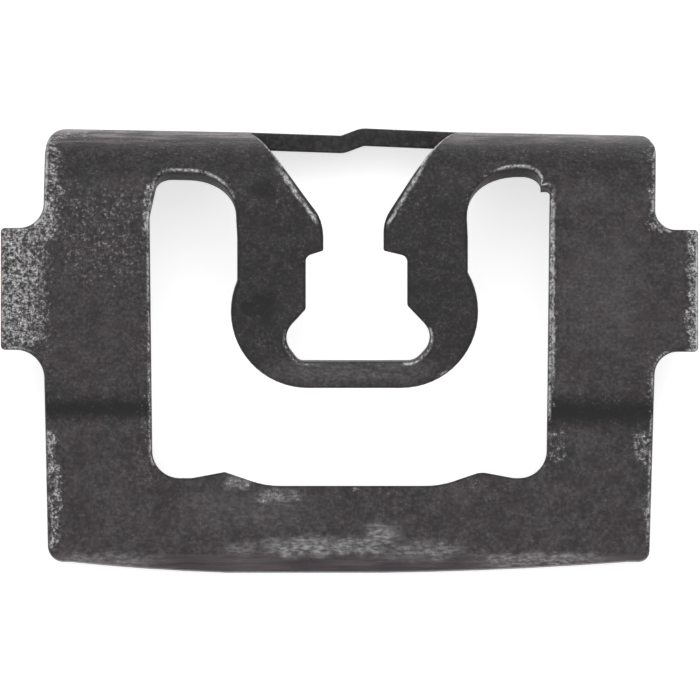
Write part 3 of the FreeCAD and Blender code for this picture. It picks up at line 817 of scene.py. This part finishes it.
        # painted highlight: streaks lightened on the skin beside the cut edges
        painted_highlight_mask = self.times(self.most(streaks), self.ramp(self.dashes, *STREAK_DASHED))
        painted_highlight_mask = self.times(painted_highlight_mask, self.ramp(self.clumps, *STREAK_CLUMPED))
        return self.mix(self.times(painted_highlight_mask, self.skin), colour, PAINTED_HIGHLIGHT_GREY)

    def finish(self, colour):
        height = self.maths("MULTIPLY_ADD", self.fine, CRYSTAL_SHARE, self.grain)
        self.shader.inputs["Specular IOR Level"].default_value = SPECULAR_LEVEL
        self.put(self.shader.inputs["Base Color"], colour)
        self.put(self.shader.inputs["Roughness"], self.ramp(self.grain, *ROUGHENED))
        self.put(self.shader.inputs["Normal"], self.bump(height, CRYSTAL_HEIGHT))


def clip_steel(name):
    material = bpy.data.materials.new(name)
    steel = ClipSteel(material)
    colour = steel.wear_and_painted_highlight(steel.coated(steel.shade()))
    colour = steel.rubbed_and_painted_light(steel.smoothed(colour))
    colour = steel.add_painted_highlights(steel.bare_and_highlit_edges(colour))
    steel.finish(colour)
    return material


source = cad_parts["molding_clip"]
clip = rolled_clip(source)
bpy.context.scene.collection.objects.link(clip)
clip.data.materials.clear()
clip.data.materials.append(clip_steel("phosphated_spring_steel"))
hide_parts("molding_clip")
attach(clip, "root")

weighted = clip.modifiers.new("even_shading", "WEIGHTED_NORMAL")
weighted.mode = "FACE_AREA"
weighted.weight = SHADING_WEIGHT
weighted.keep_sharp = True


# Floor, light and camera

FLOOR_SIDE = 6.0
FLOOR_GREY = (0.93, 0.93, 0.93, 1.0)
FLOOR_ROUGHNESS = 0.9
FLOOR_LIFT = 0.58
WHITE = (1.0, 1.0, 1.0, 1.0)
WORLD_LIGHT = 0.5
WORLD_SEEN = 1.0

# Softboxes: direction in the plate's frame, distance and side in metres, and radiance
SOFTBOXES = {
    "top_softbox": ((-0.15, 1.3, 1.0), 0.7, 0.6, 0.62),
    "front_softbox": ((0.0, 0.08, 1.0), 0.32, 0.6, 0.65),
}

# The view: millimetres in the plate's frame, and the camera's own lengths
VIEW_CENTRE = Vector((0.0, 10.045, 0.0))
VIEW_WIDTH = 31.818
CAMERA_DISTANCE = 1200.0
SENSOR_WIDTH = 36.0
CLIP_START = 0.01
CLIP_END = 10.0


def seen_value(tree, lighting, seen):
    """One value for the rays that look at a thing, another for the rays it lights."""
    path = tree.nodes.new("ShaderNodeLightPath")
    looks = path.outputs["Is Camera Ray"]
    for kind in ("Is Glossy Ray", "Is Transmission Ray"):
        either = tree.nodes.new("ShaderNodeMath")
        either.operation = "MAXIMUM"
        tree.links.new(looks, either.inputs[0])
        tree.links.new(path.outputs[kind], either.inputs[1])
        looks = either.outputs[0]
    value = tree.nodes.new("ShaderNodeMapRange")
    value.inputs["To Min"].default_value = lighting
    value.inputs["To Max"].default_value = seen
    tree.links.new(looks, value.inputs["Value"])
    return value.outputs["Result"]


def floor_material():
    material = bpy.data.materials.new("pale_floor")
    material.use_nodes = True
    tree = material.node_tree
    shader = tree.nodes["Principled BSDF"]
    shader.inputs["Base Color"].default_value = FLOOR_GREY
    shader.inputs["Roughness"].default_value = FLOOR_ROUGHNESS
    shader.inputs["Specular IOR Level"].default_value = 0.0
    shader.inputs["Emission Color"].default_value = WHITE
    tree.links.new(seen_value(tree, 0.0, FLOOR_LIFT), shader.inputs["Emission Strength"])
    return material


def add_floor():
    half = FLOOR_SIDE / 2
    mesh = bpy.data.meshes.new("floor")
    mesh.from_pydata(
        [(-half, -half, 0.0), (half, -half, 0.0), (half, half, 0.0), (-half, half, 0.0)],
        [],
        [(0, 1, 2, 3)],
    )
    mesh.materials.append(floor_material())
    floor = bpy.data.objects.new("floor", mesh)
    scene.collection.objects.link(floor)


def add_world():
    world = bpy.data.worlds.new("studio")
    scene.world = world
    world.use_nodes = True
    tree = world.node_tree
    background = tree.nodes["Background"]
    background.inputs["Color"].default_value = WHITE
    tree.links.new(seen_value(tree, WORLD_LIGHT, WORLD_SEEN), background.inputs["Strength"])


def add_softbox(name, towards, distance, size, radiance):
    """A square area lamp that faces the clip."""
    lamp = bpy.data.lights.new(name, "AREA")
    lamp.shape = "SQUARE"
    lamp.size = size
    lamp.energy = radiance * math.pi * size * size
    thing = bpy.data.objects.new(name, lamp)
    direction = Matrix.Rotation(LEAN, 3, "X") @ Vector(towards).normalized()
    thing.location = to_rest(VIEW_CENTRE) + direction * distance
    thing.rotation_mode = "QUATERNION"
    thing.rotation_quaternion = (-direction).to_track_quat("-Z", "Y")
    thing.visible_camera = False
    scene.collection.objects.link(thing)


def add_camera():
    """A distant camera that looks squarely onto the plate."""
    camera = bpy.data.cameras.new("camera")
    camera.sensor_width = SENSOR_WIDTH
    camera.lens = SENSOR_WIDTH * CAMERA_DISTANCE / VIEW_WIDTH
    camera.clip_start = CLIP_START
    camera.clip_end = CLIP_END
    thing = bpy.data.objects.new("camera", camera)
    stand = to_rest(VIEW_CENTRE + Vector((0.0, 0.0, CAMERA_DISTANCE)))
    thing.matrix_world = Matrix.Translation(stand) @ Matrix.Rotation(LEAN, 4, "X")
    scene.collection.objects.link(thing)
    scene.camera = thing


scene = bpy.context.scene
add_floor()
add_world()
for name, settings in SOFTBOXES.items():
    add_softbox(name, *settings)
add_camera()
scene.view_settings.view_transform = "Standard"
